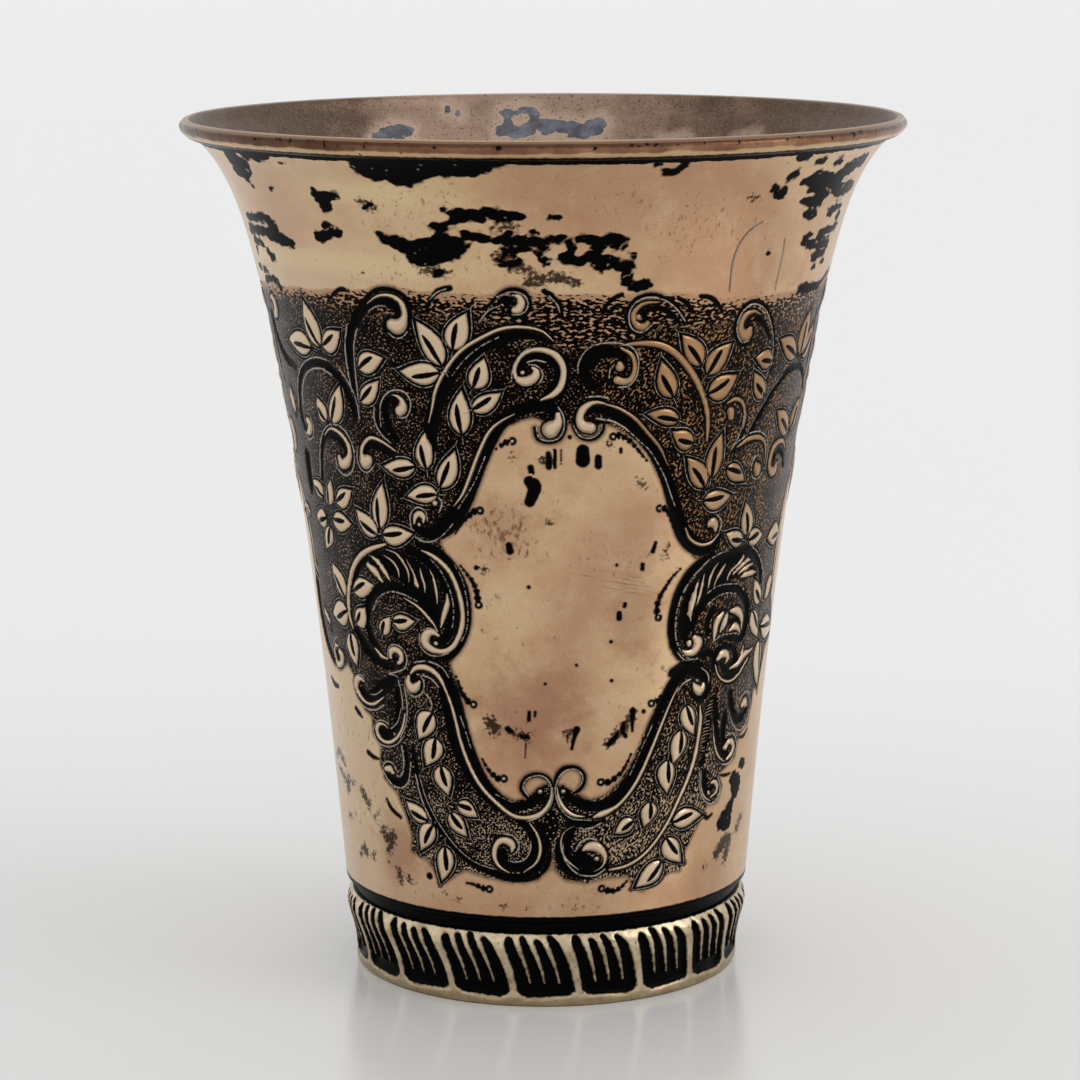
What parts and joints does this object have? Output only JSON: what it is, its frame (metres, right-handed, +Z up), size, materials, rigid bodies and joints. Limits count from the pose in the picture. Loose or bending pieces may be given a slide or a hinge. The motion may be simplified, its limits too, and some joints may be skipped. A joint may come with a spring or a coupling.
{
  "type": "silver beaker",
  "caption": "Stemless flaring silver drinking beaker with a wired lip, a chased scroll and leaf band and a low fluted foot ring; stands free and holds a drink.",
  "frame": {"origin": "centre of the standing edge, on the surface the beaker stands on", "axes": "+Z up the beaker's axis; the front panel of the chasing faces -Y"},
  "size_m": [0.0754, 0.0754, 0.09],
  "materials": {
    "chased_silver": "polished and chased silver, warm with age, black tarnish in the hollows",
    "rim_silver": "worn polished silver wire, brown with tarnish",
    "foot_silver": "polished ridges, black tarnish in the flutes",
    "base_silver": "dull grey silver"
  },
  "bodies": {
    "root": {"cup_body": "chased_silver", "rim_wire": "rim_silver", "foot_ring": "foot_silver", "base_disc": "base_silver"}
  },
  "joints": []
}
